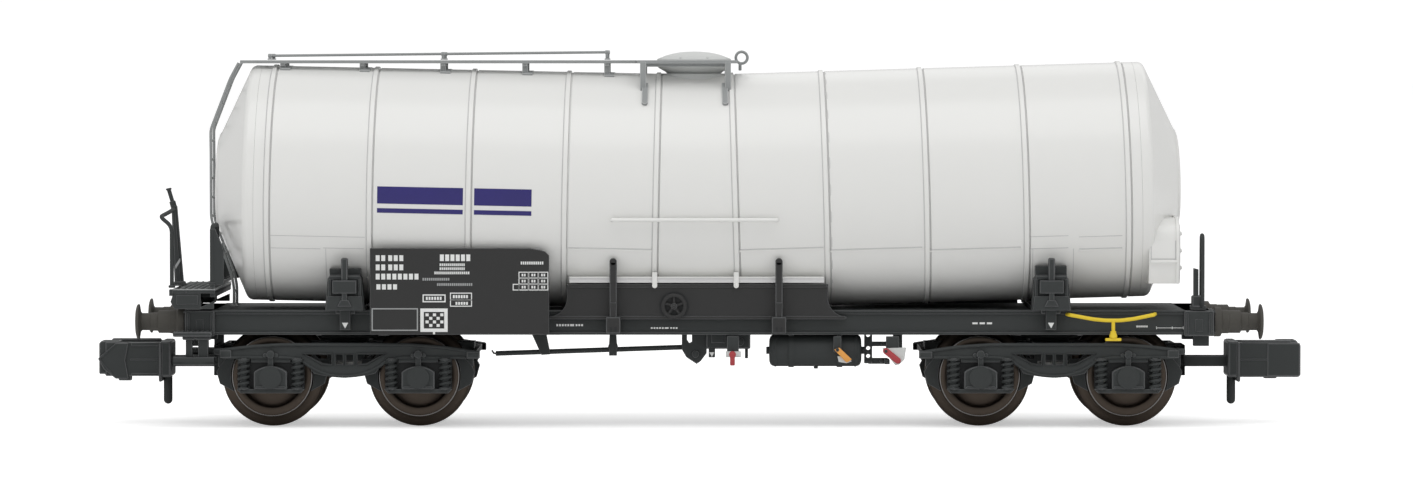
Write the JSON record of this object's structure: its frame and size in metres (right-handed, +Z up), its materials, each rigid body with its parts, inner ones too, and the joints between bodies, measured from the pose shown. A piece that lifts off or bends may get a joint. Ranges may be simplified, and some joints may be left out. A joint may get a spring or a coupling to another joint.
{
  "type": "model tank wagon",
  "caption": "Small-scale bogie tank wagon with a white tank that falls to its middle, walkway, ladder, brake platform, swivelling bogies and hook couplers.",
  "frame": {"origin": "midway between the bogie pivots on the centreline, on the plane that the wheel flanges stand on", "axes": "+X along the wagon away from its brake platform, -Y towards the side with the brake gear, +Z up"},
  "size_m": [0.0926, 0.0186, 0.0288],
  "materials": {
    "tank_white": "satin grey-white",
    "anthracite": "matt dark grey",
    "plate_black": "matt near-black",
    "mid_grey": "matt mid grey",
    "light_grey": "satin light grey",
    "wheel_bronze": "blackened, brown sheen",
    "buffer_brown": "dark olive brown",
    "steel": "bright turned steel",
    "yellow": "printed yellow",
    "orange": "printed orange",
    "red": "printed red"
  },
  "bodies": {
    "chassis": {"underframe": "anthracite", "end_platform": "anthracite", "end_railing": "anthracite", "brake_column": "anthracite", "step_near": "anthracite", "step_far": "anthracite", "corner_rail_near": "anthracite", "saddle_left": "anthracite", "saddle_right": "anthracite", "air_reservoir": "anthracite", "brake_rigging": "anthracite", "lever_bracket": "anthracite", "pivot_screw_left": "steel", "pivot_screw_right": "steel", "ballast_weight": "steel", "tank_barrel": "tank_white", "tank_end_left": "tank_white", "tank_end_right": "tank_white", "end_hood": "tank_white", "side_rail_near": "tank_white", "side_rail_far": "tank_white", "manhole_neck": "light_grey", "manhole_cover": "light_grey", "lever_diagonal": "light_grey", "walkway": "mid_grey", "walkway_handrail": "mid_grey", "manhole_platform": "mid_grey", "end_ladder": "mid_grey", "side_plate_near": "plate_black", "side_plate_far": "plate_black", "signboard_near": "plate_black", "signboard_far": "plate_black", "bracket_yellow_near": "yellow", "bracket_yellow_far": "yellow", "lever_red": "red", "lever_orange": "orange", "buffer_left_near": "buffer_brown", "buffer_left_far": "buffer_brown", "buffer_right_near": "buffer_brown", "buffer_right_far": "buffer_brown"},
    "bogie_left": {"bogie_frame_left": "anthracite"},
    "wheelset_left_outer": {"axle_left_outer": "steel", "wheel_left_outer_near": "wheel_bronze", "wheel_left_outer_far": "wheel_bronze"},
    "wheelset_left_inner": {"axle_left_inner": "steel", "wheel_left_inner_near": "wheel_bronze", "wheel_left_inner_far": "wheel_bronze"},
    "coupler_carrier_left": {"coupler_spring_left": "steel"},
    "coupler_head_left": {"coupler_left": "anthracite"},
    "bogie_right": {"bogie_frame_right": "anthracite"},
    "wheelset_right_outer": {"axle_right_outer": "steel", "wheel_right_outer_near": "wheel_bronze", "wheel_right_outer_far": "wheel_bronze"},
    "wheelset_right_inner": {"axle_right_inner": "steel", "wheel_right_inner_near": "wheel_bronze", "wheel_right_inner_far": "wheel_bronze"},
    "coupler_carrier_right": {"coupler_spring_right": "steel"},
    "coupler_head_right": {"coupler_right": "anthracite"}
  },
  "joints": [
    {"name": "bogie_left_swivel", "type": "hinge", "parent": "chassis", "child": "bogie_left", "pos_m": [-0.02703, 0, 0.0065], "axis": [0, 0, 1], "range_deg": [-9, 9]},
    {"name": "wheelset_left_outer_spin", "type": "hinge", "parent": "bogie_left", "child": "wheelset_left_outer", "pos_m": [-0.03265, 0, 0.00388], "axis": [0, 1, 0], "continuous": true},
    {"name": "wheelset_left_inner_spin", "type": "hinge", "parent": "bogie_left", "child": "wheelset_left_inner", "pos_m": [-0.02141, 0, 0.00388], "axis": [0, 1, 0], "continuous": true},
    {"name": "coupler_left_swing", "type": "hinge", "parent": "bogie_left", "child": "coupler_carrier_left", "pos_m": [-0.03663, 0, 0.0048], "axis": [0, 0, -1], "range_deg": [-5, 5], "stiffness_Nm_per_rad": 0.00005},
    {"name": "coupler_left_lift", "type": "hinge", "parent": "coupler_carrier_left", "child": "coupler_head_left", "pos_m": [-0.03663, 0, 0.0048], "axis": [0, 1, 0], "range_deg": [0, 8], "stiffness_Nm_per_rad": 0.00005},
    {"name": "bogie_right_swivel", "type": "hinge", "parent": "chassis", "child": "bogie_right", "pos_m": [0.02703, 0, 0.0065], "axis": [0, 0, 1], "range_deg": [-9, 9]},
    {"name": "wheelset_right_outer_spin", "type": "hinge", "parent": "bogie_right", "child": "wheelset_right_outer", "pos_m": [0.03265, 0, 0.00388], "axis": [0, 1, 0], "continuous": true},
    {"name": "wheelset_right_inner_spin", "type": "hinge", "parent": "bogie_right", "child": "wheelset_right_inner", "pos_m": [0.02141, 0, 0.00388], "axis": [0, 1, 0], "continuous": true},
    {"name": "coupler_right_swing", "type": "hinge", "parent": "bogie_right", "child": "coupler_carrier_right", "pos_m": [0.03663, 0, 0.0048], "axis": [0, 0, -1], "range_deg": [-5, 5], "stiffness_Nm_per_rad": 0.00005},
    {"name": "coupler_right_lift", "type": "hinge", "parent": "coupler_carrier_right", "child": "coupler_head_right", "pos_m": [0.03663, 0, 0.0048], "axis": [0, -1, 0], "range_deg": [0, 8], "stiffness_Nm_per_rad": 0.00005}
  ]
}
